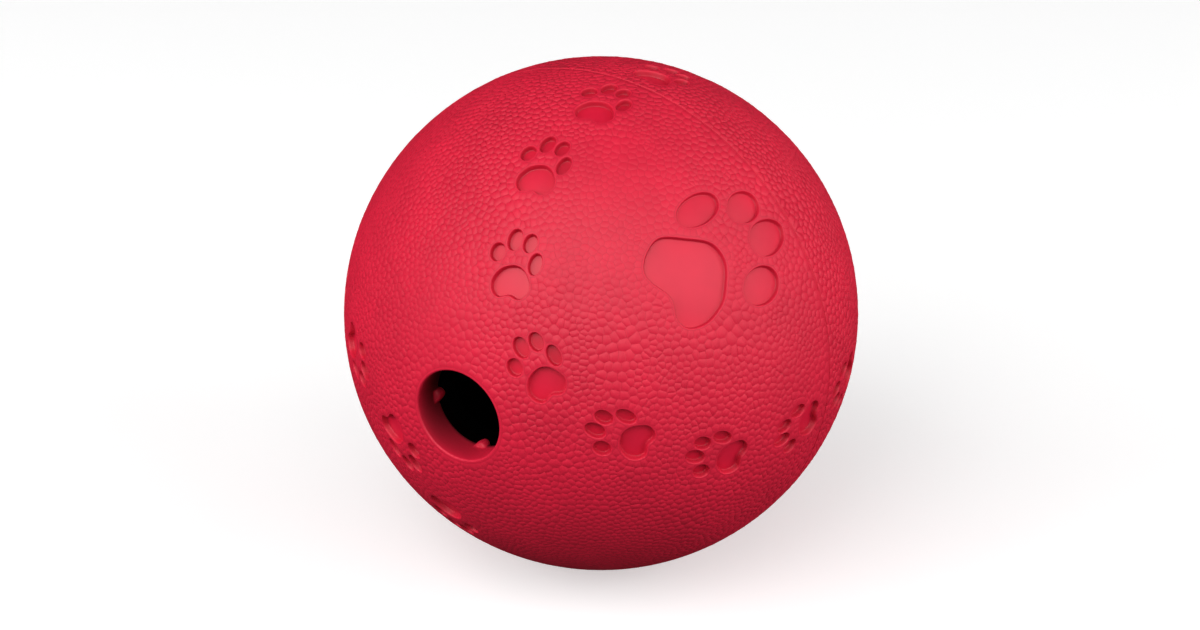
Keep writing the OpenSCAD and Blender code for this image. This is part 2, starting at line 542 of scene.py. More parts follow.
@dataclass(frozen=True)
class Trail:
    """Where the prints are: 28 small ones along a curve like a tennis ball's seam.

    The curve is x = a cos t + b cos 3t, y = a sin t - b sin 3t, z = c sin 2t about the
    hole's axis, with a + b = 1 and c = 2 sqrt(ab), so that it lies on the unit ball.

    Attributes:
        rise: c, how high the curve's four lobes rise towards the poles.
        turn: turn of the first lobe about the hole's axis, in degrees.
        slips: how far each lobe is turned past its even place, in degrees.
        count: number of small prints.
        spins: how far each of a lobe's prints is turned off the curve, in degrees.
        shifts: how far each of them is moved, to its right and towards its toes.
        large_angle: angle of the large prints from the nearer pole, in degrees.
        steps: number of steps in which the curve's length is summed.
    """

    rise: float = 0.912
    turn: float = 38.2
    slips: tuple[float, ...] = (0.0, -2.0, -2.0, -2.0)
    count: int = 28
    spins: tuple[float, ...] = (-4, -16, 0, -8, -16, 0, 8)
    shifts: tuple[tuple[float, float], ...] = (
        (0, -0.5), (-0.2, -0.5), (0.2, 0), (-0.6, 0), (0.1, -0.2), (0.3, 0.3), (1, 0)
    )
    large_angle: float = 70.0
    steps: int = 1440

    def curve(self, t: np.ndarray, slip: float = 0.0) -> np.ndarray:
        """Gives points of the trail on the unit ball, in the row's frame.

        Args:
            t: angles round the curve, in radians.
            slip: further turn about the hole's axis, in degrees.

        Returns:
            One direction for each angle.
        """
        a = (1 + math.sqrt(1 - self.rise**2)) / 2
        b = 1 - a
        x = a * np.cos(t) + b * np.cos(3 * t)
        y = a * np.sin(t) - b * np.sin(3 * t)
        z = self.rise * np.sin(2 * t)
        turn = math.radians(self.turn + slip - LOBE_TOP)
        across = x * math.cos(turn) - y * math.sin(turn)
        upward = x * math.sin(turn) + y * math.cos(turn)
        return np.stack([across, -z, upward], -1)

    def small_prints(self, radius: float) -> list[Print]:
        """Sets the small prints at even steps of length along the trail.

        The middle print of the first lobe sits at the lobe's top.

        Args:
            radius: the ball's radius.

        Returns:
            The prints, lobe by lobe.
        """
        t = np.linspace(0.0, 2 * math.pi, self.steps + 1)
        ways = self.curve(t)
        length = np.concatenate([[0.0], np.cumsum(np.linalg.norm(np.diff(ways, axis=0), axis=1))])
        lobe = len(self.spins)
        made = []
        for k in range(self.count):
            at = ((k - lobe // 2) / self.count + LOBE_TOP / 360) % 1.0 * length[-1]
            here = float(np.interp(at, length, t))
            slip = self.slips[k // lobe]
            middle, ahead = unit(self.curve(np.array([here, here + AHEAD]), slip))
            paw = Print(SMALL_PAW, middle, ahead - middle, radius).spun(self.spins[k % lobe])
            made.append(paw.shifted(*self.shifts[k % lobe]))
        return made

    def large_prints(self, radius: float) -> list[Print]:
        """Sets a large print inside each lobe, its toes towards the seam.

        Args:
            radius: the ball's radius.

        Returns:
            The prints, the first one in the first lobe.
        """
        made = []
        for k, slip in enumerate(self.slips):
            turn = math.radians(self.turn + slip + 90 * k)
            side = np.array([math.cos(turn), 0.0, math.sin(turn)])
            pole = np.array([0.0, -1.0 if k % 2 == 0 else 1.0, 0.0])
            angle = math.radians(self.large_angle)
            middle = math.cos(angle) * pole + math.sin(angle) * side
            made.append(Print(LARGE_PAW, middle, side - math.cos(angle) * pole, radius))
        return made


@dataclass(frozen=True)
class Spacing:
    """How the pebbles' middles, the seeds, are set out, in shares of the usual pitch.

    Attributes:
        beside: distance of a row of seeds from a print's border, on either side of it.
        along: distance between neighbours in the row outside.
        along_inside: distance between neighbours in the row inside.
        fill: distance between the seeds that fill the rest of a print.
        outer_gap: least gap from the outer row to any border, as a share of beside.
        fill_gap: least gap from the filling seeds to it, as a share of beside.
        closest: least distance between two seeds of the outer row.
        from_border: least gap from a free seed to a print, past its border, at first.
        from_row: least distance from a free seed to the outer row at first.
        settled: least gap from a free seed to a border, the seam or the mouth later on.
        mirrored: how far from the seam and the mouth seeds are mirrored in them.
    """

    beside: float = 0.43
    along: float = 0.86
    along_inside: float = 0.5
    fill: float = 0.9
    outer_gap: float = 0.7
    fill_gap: float = 1.6
    closest: float = 0.6
    from_border: float = 0.75
    from_row: float = 0.62
    settled: float = 0.3
    mirrored: float = 3.0


@dataclass(frozen=True)
class Grain:
    """The pebble grain of the skin, in mm.

    Attributes:
        pitch: usual distance between the middles of neighbouring pebbles.
        groove: depth of the grooves between pebbles.
        groove_spread: least and greatest share of that depth at a groove's corners.
        border_share: share of the depth that is left where pebbles meet something else.
        shoulder: how far a pebble's shoulder lies below the ball's radius.
        crown: height of a pebble's middle above its shoulder.
        crown_spread: least and greatest share of that height. Below 0 is a dimple.
        inset: distance from the groove's bottom to the shoulder.
        inset_share: greatest share of the way to the pebble's middle that it takes.
        margin: width of the smooth border round the prints.
        rounds: how often the pebbles' middles are evened out.
        merge: grooves' corners nearer than this become one.
        spacing: how the pebbles' middles are set out.
        wear: patches where the grain is worn, each with the direction to its middle,
            the share of its height that the grain has lost there, and its reach. A
            share below 0 marks a patch where the mould's grain is deeper.
    """

    pitch: float = 0.99
    groove: float = 0.061
    groove_spread: tuple[float, float] = (0.75, 1.15)
    border_share: float = 0.7
    shoulder: float = 0.008
    crown: float = 0.03
    crown_spread: tuple[float, float] = (-0.7, 1.1)
    inset: float = 0.07
    inset_share: float = 0.55
    margin: float = 0.27
    rounds: int = 16
    merge: float = 0.09
    spacing: Spacing = Spacing()
    wear: tuple[tuple[float, float, float, float, float], ...] = (
        (0.38, -0.5, 0.78, 0.78, 12.0), (0.25, -0.72, -0.64, 0.55, 24.0),
        (-0.1, -0.93, 0.34, 0.4, 10.0), (0.66, -0.68, 0.3, 0.22, 13.0),
        (0.98, -0.15, 0.05, 0.3, 14.0), (0.03, -0.2, 0.98, -0.4, 12.0),
        (-0.35, -0.3, 0.89, -0.6, 9.0),
    )

    def relief(self, way: np.ndarray, radius: float) -> np.ndarray:
        """Gives the share of its height that the grain has left.

        Each patch leaves 1 - worn exp(-(d / reach)^2) of it, where d is the distance
        from the patch's middle.

        Args:
            way: directions.
            radius: the ball's radius.

        Returns:
            One share for each direction.
        """
        left = np.ones(len(way))
        for x, y, z, worn, reach in self.wear:
            away = radius * np.arccos(np.clip(way @ unit(np.array([x, y, z])), -1, 1))
            left *= 1 - worn * np.exp(-((away / reach) ** 2))
        return left


def grid_faces(rows: int, columns: int) -> np.ndarray:
    """Numbers the quads of a grid whose columns close round a ring.

    Args:
        rows: number of rings.
        columns: number of points in each ring.

    Returns:
        Rows of four point numbers, which face outwards where the rings run down an outside.
    """
    i, j = np.meshgrid(np.arange(rows - 1), np.arange(columns), indexing="ij")
    k = (j + 1) % columns
    corners = (i * columns + j, (i + 1) * columns + j, (i + 1) * columns + k, i * columns + k)
    return np.stack(corners, -1).reshape(-1, 4)


def ball_profile(radius: float, low: float, high: float, steps: int) -> np.ndarray:
    """Gives a ball's profile between two heights, r = sqrt(R^2 - z^2), in even steps of angle."""
    t = np.linspace(math.asin(low / radius), math.asin(high / radius), steps + 1)
    return radius * np.stack([np.cos(t), np.sin(t)], 1)


@dataclass(frozen=True)
class Axes:
    """The axes of one half: its pole, and two directions square to it.

    Attributes:
        pole: unit vector from the ball's centre to the middle of the half.
    """

    pole: tuple[float, float, float]

    @property
    def up(self) -> np.ndarray:
        """The pole as an array."""
        return np.array(self.pole)

    @property
    def east(self) -> np.ndarray:
        """The direction from which turns about the pole are measured."""
        return np.array([1.0, 0.0, 0.0])

    @property
    def north(self) -> np.ndarray:
        """The direction a quarter turn on from east."""
        return np.cross(self.up, self.east)

    def sides(self, turns: np.ndarray) -> np.ndarray:
        """Gives the unit vectors square to the pole at the given turns."""
        return np.cos(turns)[:, None] * self.east + np.sin(turns)[:, None] * self.north

    def turns(self, points: np.ndarray) -> np.ndarray:
        """Gives the turns of points about the pole, in radians."""
        return np.arctan2(points @ self.north, points @ self.east)

    def rings(self, turns: np.ndarray, profile: np.ndarray) -> np.ndarray:
        """Carries a profile round the pole.

        Args:
            turns: the columns' turns.
            profile: for each ring its distance from the axis and its height, either once
                or for each column.

        Returns:
            Rings of points, as an array of rings by columns by 3.
        """
        if profile.ndim == 2:
            profile = profile[:, None, :]
        return profile[..., :1] * self.sides(turns) + profile[..., 1:] * self.up

    def collar(self, inner: np.ndarray, outer: np.ndarray, faces_up: bool) -> Surface:
        """Fills the band between two loops of points about the pole, seen along the pole.

        Args:
            inner: the loop nearer the axis.
            outer: the loop round it.
            faces_up: whether the band faces along the pole or against it.

        Returns:
            The band, which adds no points.
        """
        points = np.concatenate([inner, outer])
        flat = np.stack([points @ self.east, points @ self.north], 1)
        a, b = np.arange(len(inner)), np.arange(len(outer)) + len(inner)
        sides = np.concatenate([np.stack([a, np.roll(a, -1)], 1), np.stack([b, np.roll(b, -1)], 1)])
        rows = triangulate(flat, sides)
        centre = flat[rows].mean(1)
        rows = rows[inside_loops(centre, flat[sides[:, 0]], flat[sides[:, 1]])]
        return Surface.plain(points, [rows if faces_up else rows[:, ::-1]])


# Section of a print's wall: how far outside the outline, and share of the print's depth
PRINT_WALL = (
    (0.12, 0.0), (0.07, 0.02), (0.03, 0.14), (0.0, 0.42),
    (-0.03, 0.74), (-0.06, 0.93), (-0.11, 1.0), (-0.2, 1.0),
)


@dataclass(frozen=True)
class PrintShade:
    """How much shade is painted on the points of a print, and how far they count as polished.

    Each curve goes level past its ends. Gaps are to the outline, in mm and negative
    inside it, and heights are those of the print's middle on a ball of radius 1.

    Attributes:
        wall: how far a point belongs to the wall, by its share of the print's depth.
        foot: painted groove shade on the wall and along its foot, by gap.
        floor: painted groove shade on the floor near the wall, by gap.
        low: share of the floor's painted shade, by height: prints low on the ball are painted darker
            inside.
        polish: polish, by share of the print's depth.
        film: painted shade on the wall and along its foot, by gap.
        high: share of that painted shade, by height.
    """

    wall: Curve = ((0.05, 0.4), (0.0, 1.0))
    foot: Curve = ((-0.3, -0.12), (0.0, 0.7))
    floor: Curve = ((-1.1, -0.2), (0.0, 1.0))
    low: Curve = ((-0.1, 0.35), (0.8, 0.3))
    polish: Curve = ((0.9, 1.0), (0.0, 1.0))
    film: Curve = ((-0.25, -0.12), (0.0, 1.0))
    high: Curve = ((0.65, 0.9), (0.06, 0.2))

    def traits(self, paw: Print, flat: np.ndarray, share: np.ndarray) -> np.ndarray:
        """Works out the traits of a print's points.

        The painted groove shade is wall times the greater of foot and low times floor, and the
        painted hollow shade is wall times film times high.

        Args:
            paw: the print.
            flat: its points on the flat map.
            share: the share of the print's depth at each.

        Returns:
            One row for each point with one column for each Trait.
        """
        gap, height = paw.gap_on_map(flat), paw.middle[2]
        wall = np.interp(share, *self.wall)
        foot, floor = np.interp(gap, *self.foot), np.interp(gap, *self.floor)
        # Painted shade: darker walls and feet, and darker floors in prints low on the ball
        groove = wall * np.maximum(foot, np.interp(height, *self.low) * floor)
        polish = np.interp(share, *self.polish)
        # Painted shade on the walls, stronger on prints high on the ball
        film = np.interp(height, *self.high) * wall * np.interp(gap, *self.film)
        return np.stack([groove, np.full(len(flat), 0.5), polish, film], 1)


@dataclass
class Sides:
    """The sides of the pebbles' cells, each of which runs along the bottom of a groove.

    Attributes:
        seed: number of the seed whose pebble lies on the left of each side.
        beyond: the region on its right.
        start: number of the groove point at which it starts.
        end: number of the groove point at which it ends.
    """

    seed: np.ndarray
    beyond: np.ndarray
    start: np.ndarray
    end: np.ndarray


class Skin:
    """The outer surface of one half: pebbles, prints and the smooth borders between.

    Each pebble fills the cell of one seed: the part of the ball that is nearer to that
    seed than to any other.
    """

    clear = 0.05  # least distance from a print's wall to the pebbles' edge, in mm
    astray = 0.02  # a wall point whose gap is off by more than this is left out, in mm
    floor_rows = 0.87  # distance between rows of floor points, as a share of their step
    batches = 16  # in how many parts the free seeds are compared, which saves memory

    def __init__(
        self, radius: float, axes: Axes, prints: list[Print], grain: Grain,
        mouth: float | None, band: float, seed: int,
    ) -> None:
        """Sets up the half's own axes and finds the prints that lie on it.

        Args:
            radius: the ball's radius.
            axes: the half's axes.
            prints: all prints of the ball.
            grain: the pebbles' sizes.
            mouth: distance from the hole's axis at which the pebbles end, or None.
            band: height above the seam plane at which the pebbles end.
            seed: start of the random draws.
        """
        self.radius = radius
        self.axes = axes
        self.pole = axes.up
        self.prints = [p for p in prints if p.middle @ axes.up > 0]
        self.grain = grain
        self.shade = PrintShade()
        self.mouth_angle = None if mouth is None else math.asin(mouth / radius)
        self.seam_angle = math.pi / 2 - math.asin(band / radius)
        self.random = np.random.default_rng(seed)

    def flatten(self, way: np.ndarray) -> np.ndarray:
        """Maps directions to the plane by stereographic projection, which keeps circles."""
        scale = 1.0 / (1.0 + way @ self.pole)
        return np.stack([way @ self.axes.east * scale, way @ self.axes.north * scale], -1)

    def at_angle(self, way: np.ndarray, angle: np.ndarray | float) -> np.ndarray:
        """Moves directions along their meridians to another angle from the pole.

        Args:
            way: directions.
            angle: the new angle in radians, one for all or one for each.

        Returns:
            The moved directions.
        """
        side = unit(way - (way @ self.pole)[:, None] * self.pole)
        angle = np.broadcast_to(angle, len(way))[:, None]
        return np.cos(angle) * self.pole + np.sin(angle) * side

    def from_pole(self, way: np.ndarray) -> np.ndarray:
        """Gives the angles of directions from the pole."""
        return np.arccos(np.clip(way @ self.pole, -1, 1))

    def gap(self, way: np.ndarray) -> np.ndarray:
        """Measures the gap from directions to the nearest print's outline.

        Args:
            way: directions.

        Returns:
            The gap for each, FAR where no print is near.
        """
        out = np.full(len(way), FAR)
        for p in self.prints:
            out = np.minimum(out, p.gap(way))
        return out

    def border_seeds(self) -> tuple[np.ndarray, np.ndarray, np.ndarray]:
        """Sets pairs of seeds either side of the prints' borders, so that grooves follow them.

        Returns:
            Seeds of pebbles outside the borders, seeds inside them, and the number of
            the print that each inside seed belongs to.
        """
        g, s = self.grain, self.grain.spacing
        half = s.beside * g.pitch
        outer, inner, owner = [], [], []
        for number, p in enumerate(self.prints):
            near = np.concatenate(p.offset_loops(g.margin + half, s.along * g.pitch))
            near = near[p.gap_on_map(near) > g.margin + s.outer_gap * half]
            keep = np.ones(len(near), dtype=bool)
            for k in range(1, len(near)):
                away = np.linalg.norm(near[:k][keep[:k]] - near[k], axis=1)
                keep[k] = away.min() > s.closest * g.pitch
            outer.append(p.from_map(near[keep]))
            inside = np.concatenate(p.offset_loops(g.margin - half, s.along_inside * g.pitch))
            side = np.arange(-p.shape.reach, p.shape.reach, s.fill * g.pitch)
            fill = np.stack(np.meshgrid(side, side), -1).reshape(-1, 2)
            fill = fill[p.gap_on_map(fill) < g.margin - s.fill_gap * half]
            inner.append(p.from_map(np.concatenate([inside, fill])))
            owner.append(np.full(len(inner[-1]), number))
        return np.concatenate(outer), np.concatenate(inner), np.concatenate(owner)

    def free_seeds(self, fixed: np.ndarray) -> np.ndarray:
        """Scatters the middles of the other pebbles evenly over the half.

        Args:
            fixed: seeds that keep their places.

        Returns:
            The free seeds, clear of the fixed ones and of the prints.
        """
        g, s = self.grain, self.grain.spacing
        top = math.cos(self.mouth_angle or 0.0)
        low = math.cos(self.seam_angle)
        area = 2 * math.pi * self.radius**2 * (top - low)
        count = int(area / (GRID_AREA * g.pitch**2))
        height = self.random.uniform(low, top, count)
        turn = self.random.uniform(0, 2 * math.pi, count)
        way = height[:, None] * self.pole + np.sqrt(1 - height**2)[:, None] * self.axes.sides(turn)
        way = way[self.gap(way) > g.margin + s.from_border * g.pitch]
        cosine = math.cos(s.from_row * g.pitch / self.radius)
        parts = np.array_split(way, self.batches)
        return way[np.concatenate([(part @ fixed.T).max(1) < cosine for part in parts])]

    def with_mirror(self, real: np.ndarray) -> tuple[np.ndarray, np.ndarray]:
        """Mirrors the seeds near the seam and the mouth, so that grooves run along both.

        Args:
            real: seeds of pebbles.

        Returns:
            The mirrored seeds and the region that each stands for.
        """
        angle = self.from_pole(real)
        reach = self.grain.spacing.mirrored * self.grain.pitch / self.radius
        edges = [(self.seam_angle, Region.SEAM)]
        if self.mouth_angle is not None:
            edges.append((self.mouth_angle, Region.MOUTH))
        ways, regions = [], []
        for edge, region in edges:
            near = np.abs(angle - edge) < reach
            ways.append(self.at_angle(real[near], 2 * edge - angle[near]))
            regions.append(np.full(int(near.sum()), region.value))
        return np.concatenate(ways), np.concatenate(regions)

    @staticmethod
    def corners(ways: np.ndarray, rows: np.ndarray) -> np.ndarray:
        """Gives the direction at equal distance from each triangle's three seeds."""
        a, b, c = ways[rows[:, 0]], ways[rows[:, 1]], ways[rows[:, 2]]
        return unit(np.cross(b - a, c - a))

    def relaxed(self) -> tuple[np.ndarray, np.ndarray]:
        """Evens out the seeds by moving each free one to the mean of its cell's corners.

        Returns:
            All seeds and the region of each.
        """
        outer, inner, owner = self.border_seeds()
        free = self.free_seeds(outer)
        least = self.grain.spacing.settled * self.grain.pitch
        low = self.seam_angle - least / self.radius
        high = (self.mouth_angle or -1.0) + least / self.radius  # -1 lets every angle pass
        for _ in range(self.grain.rounds):
            real = np.concatenate([free, outer])
            ghost, _ = self.with_mirror(real)
            ways = np.concatenate([real, inner, ghost])
            rows = triangulate(self.flatten(ways))
            corner = self.corners(ways, rows)
            total = np.zeros((len(ways), 3))
            for k in range(3):
                np.add.at(total, rows[:, k], corner)
            moved = unit(total[: len(free)])
            angle = self.from_pole(moved)
            fits = (angle < low) & (angle > high)
            free = moved[fits & (self.gap(moved) > self.grain.margin + least)]
        real = np.concatenate([free, outer])
        ghost, ghost_region = self.with_mirror(real)
        pebble = np.full(len(real), Region.PEBBLE.value)
        return np.concatenate([real, inner, ghost]), np.concatenate([pebble, owner, ghost_region])

    @staticmethod
    def neighbours(rows: np.ndarray, count: int) -> tuple[np.ndarray, ...]:
        """Finds where two triangles share a side, once from either of them.

        Args:
            rows: triangles of seeds, counter-clockwise.
            count: number of seeds.

        Returns:
            For each shared side the seeds at which it starts and ends, and the numbers
            of the triangles on its left and on its right.
        """
        source = rows.reshape(-1)
        target = np.roll(rows, -1, axis=1).reshape(-1)
        left = np.repeat(np.arange(len(rows)), 3)
        key = source * count + target
        order = np.argsort(key)
        wanted = target * count + source
        found = np.minimum(np.searchsorted(key[order], wanted), len(key) - 1)
        twin = order[found]
        paired = key[twin] == wanted
        return source[paired], target[paired], left[paired], twin[paired] // 3

    def merged(self, corner: np.ndarray, left: np.ndarray, right: np.ndarray) -> np.ndarray:
        """Groups corners that lie nearer together than the grain's merge.

        Args:
            corner: directions of the corners.
            left: the number of one corner of each neighbouring two.
            right: the number of the other.

        Returns:
            For each corner the lowest number in its group.
        """
        label = np.arange(len(corner))
        near = self.radius * np.linalg.norm(corner[left] - corner[right], axis=1) < self.grain.merge
        while True:
            low = np.minimum(label[left[near]], label[right[near]])
            before = label.copy()
            np.minimum.at(label, left[near], low)
            np.minimum.at(label, right[near], low)
            if (label == before).all():
                return label

    def sides(self, ways: np.ndarray, region: np.ndarray) -> tuple[Sides, np.ndarray]:
        """Draws the sides of the pebbles' cells.

        A group of merged corners becomes one groove point at their mean, and those on
        the seam's edge or the mouth's are set exactly on it.

        Args:
            ways: all seeds.
            region: the region of each.

        Returns:
            The sides, and the directions of the groove points.
        """
        rows = triangulate(self.flatten(ways))
        corner = self.corners(ways, rows)
        source, target, left, right = self.neighbours(rows, len(ways))
        label = self.merged(corner, left, right)
        total = np.zeros((len(rows), 3))
        np.add.at(total, label, corner)
        place = unit(np.where(total == 0, 1.0, total))
        own = (region[source] == Region.PEBBLE.value) & (label[left] != label[right])
        seed, beyond = source[own], region[target[own]]
        start, end = label[right[own]], label[left[own]]
        for edge, angle in ((Region.SEAM, self.seam_angle), (Region.MOUTH, self.mouth_angle)):
            here = beyond == edge.value
            on_edge = np.unique(np.concatenate([start[here], end[here]]))
            if len(on_edge):
                place[on_edge] = self.at_angle(place[on_edge], angle)
        used, number = np.unique(np.concatenate([start, end]), return_inverse=True)
        number = number.reshape(-1)
        return Sides(seed, beyond, number[: len(start)], number[len(start):]), place[used]

    def pebbles(self, ways: np.ndarray, sides: Sides, groove_way: np.ndarray) -> Surface:
        """Raises each cell to a pebble.

        A pebble is a fan of triangles from its middle to its shoulder and a ring of
        quads from its shoulder down to the bottom of the groove round it.

        Args:
            ways: all seeds.
            sides: the sides of the pebbles' cells.
            groove_way: directions of the groove points.

        Returns:
            The surface, whose first points are the groove points.
        """
        g, grooves = self.grain, len(groove_way)
        rings, ring_number = np.unique(
            np.concatenate([sides.seed * grooves + sides.start, sides.seed * grooves + sides.end]),
            return_inverse=True,
        )
        first, second = np.split(ring_number.reshape(-1) + grooves, 2)
        ring_seed, ring_corner = ways[rings // grooves], groove_way[rings % grooves]
        span = self.radius * np.linalg.norm(ring_seed - ring_corner, axis=1)
        share = np.minimum(g.inset / span, g.inset_share)[:, None]
        ring_way = unit(ring_corner + (ring_seed - ring_corner) * share)
        seeds, middle = np.unique(sides.seed, return_inverse=True)
        middle = middle.reshape(-1) + grooves + len(rings)
        quads = np.stack([sides.start, sides.end, second, first], 1)
        fans = np.stack([first, second, middle], 1)

        shade = self.random.uniform(0, 1, len(ways))
        depth = g.groove * self.random.uniform(*g.groove_spread, grooves)
        crown = g.crown * self.random.uniform(*g.crown_spread, len(seeds))
        on_border = sides.beyond != Region.PEBBLE.value
        depth[np.union1d(sides.start[on_border], sides.end[on_border])] *= g.border_share
        way = np.concatenate([groove_way, ring_way, ways[seeds]])
        high = np.concatenate([-depth, np.full(len(rings), -g.shoulder), crown - g.shoulder])
        high *= g.relief(way, self.radius)
        # The groove trait is 1 at the grooves' bottoms, where the material paints shade
        groove = np.concatenate([np.ones(grooves), np.zeros(len(way) - grooves)])
        cell = np.concatenate([np.full(grooves, 0.5), shade[rings // grooves], shade[seeds]])
        none = np.zeros(len(way))
        LOG.info("%d pebbles", len(seeds))
        points = way * (self.radius + high)[:, None]
        return Surface(points, [quads, fans], np.stack([groove, cell, none, none], 1))

    def build(self) -> Surface:
        """Makes the pebbles and fills the prints.

        Returns:
            The surface. seam_loop and mouth_loop then hold its open edges.
        """
        ways, region = self.relaxed()
        sides, groove_way = self.sides(ways, region)
        pebbles = self.pebbles(ways, sides, groove_way)
        parts = [pebbles]
        for k, paw in enumerate(self.prints):
            parts.append(self.print_patch(paw, pebbles, groove_way, sides, sides.beyond == k))
        self.seam_loop = self.open_edge(pebbles, sides, sides.beyond == Region.SEAM.value)
        self.mouth_loop = self.open_edge(pebbles, sides, sides.beyond == Region.MOUTH.value)
        return weld(parts)

    def open_edge(self, pebbles: Surface, sides: Sides, here: np.ndarray) -> np.ndarray:
        """Follows an open edge of the pebbles round the pole.

        Args:
            pebbles: their surface.
            sides: the sides of their cells.
            here: which of the sides lie on the edge.

        Returns:
            The edge's points in order of their turn about the pole.
        """
        points = pebbles.points[np.union1d(sides.start[here], sides.end[here])]
        return points[np.argsort(self.axes.turns(points))]

    def print_wall(
        self, paw: Print, starts: np.ndarray, ends: np.ndarray, count: int,
    ) -> tuple[np.ndarray, np.ndarray, np.ndarray]:
        """Sets rings of points down the wall of a print, by the section PRINT_WALL.

        Args:
            paw: the print.
            starts: where the sides of the pebbles' edge round it start, on its flat map.
            ends: where they end.
            count: number of points that come before the wall's.

        Returns:
            The points, the share of the print's depth at each, and pairs of point
            numbers that have to be sides of triangles.
        """
        offsets, falls = zip(*PRINT_WALL)
        flats, shares, links = [], [], []
        for rings in paw.rings(offsets, paw.shape.wall_step):
            points = rings.reshape(-1, 2)
            keep = edge_distance(points, starts, ends) > self.clear
            keep &= inside_loops(points, starts, ends)
            stray = np.abs(paw.gap_on_map(points) - np.repeat(offsets, rings.shape[1]))
            keep &= stray < self.astray
            ids = np.where(keep, count + np.cumsum(keep) - 1, -1).reshape(rings.shape[:2])
            along = np.stack([ids, np.roll(ids, -1, axis=1)], -1).reshape(-1, 2)
            across = np.stack([ids[:-1], ids[1:]], -1).reshape(-1, 2)
            pairs = np.concatenate([along, across])
            links.append(pairs[(pairs >= 0).all(1)])
            flats.append(points[keep])
            shares.append(np.repeat(falls, rings.shape[1])[keep])
            count += int(keep.sum())
        return np.concatenate(flats), np.concatenate(shares), np.concatenate(links)

    def print_floor(self, paw: Print) -> np.ndarray:
        """Scatters points of a triangle grid over a print's floor.

        Args:
            paw: the print.

        Returns:
            Points of its flat map.
        """
        step = paw.shape.floor_step
        side = np.arange(-paw.shape.reach, paw.shape.reach, step)
        x, y = np.meshgrid(side, side * self.floor_rows)
        x = x + np.where(np.arange(len(side)) % 2, step / 2, 0.0)[:, None]
        flat = np.stack([x, y], -1).reshape(-1, 2)
        return flat[paw.gap_on_map(flat) < PRINT_WALL[-1][0] - step / 2]

    def print_patch(
        self, paw: Print, pebbles: Surface, groove_way: np.ndarray, sides: Sides, here: np.ndarray,
    ) -> Surface:
        """Fills one print: from the pebbles' edge over the border and down to the floor.

        Args:
            paw: the print.
            pebbles: the surface round it.
            groove_way: directions of the pebbles' groove points.
            sides: the sides of the pebbles' cells.
            here: which of the sides lie on the print's border.

        Returns:
            The patch, whose rim has the same points as the pebbles' edge.
        """
        loop = np.stack([sides.end[here], sides.start[here]], 1)
        rim, number = np.unique(loop, return_inverse=True)
        edge = number.reshape(-1, 2)
        rim_flat = paw.to_map(groove_way[rim])
        starts, ends = rim_flat[edge[:, 0]], rim_flat[edge[:, 1]]
        wall, fall, links = self.print_wall(paw, starts, ends, len(rim))
        floor = self.print_floor(paw)
        flat = np.concatenate([rim_flat, wall, floor])
        share = np.concatenate([np.zeros(len(rim)), fall, np.ones(len(floor))])
        rows = triangulate(flat, np.concatenate([edge, links]))
        rows = rows[inside_loops(flat[rows].mean(1), starts, ends)]
        points = paw.from_map(flat) * (self.radius - paw.shape.depth * share)[:, None]
        points[: len(rim)] = pebbles.points[rim]
        return Surface(points, [rows], self.shade.traits(paw, flat, share))


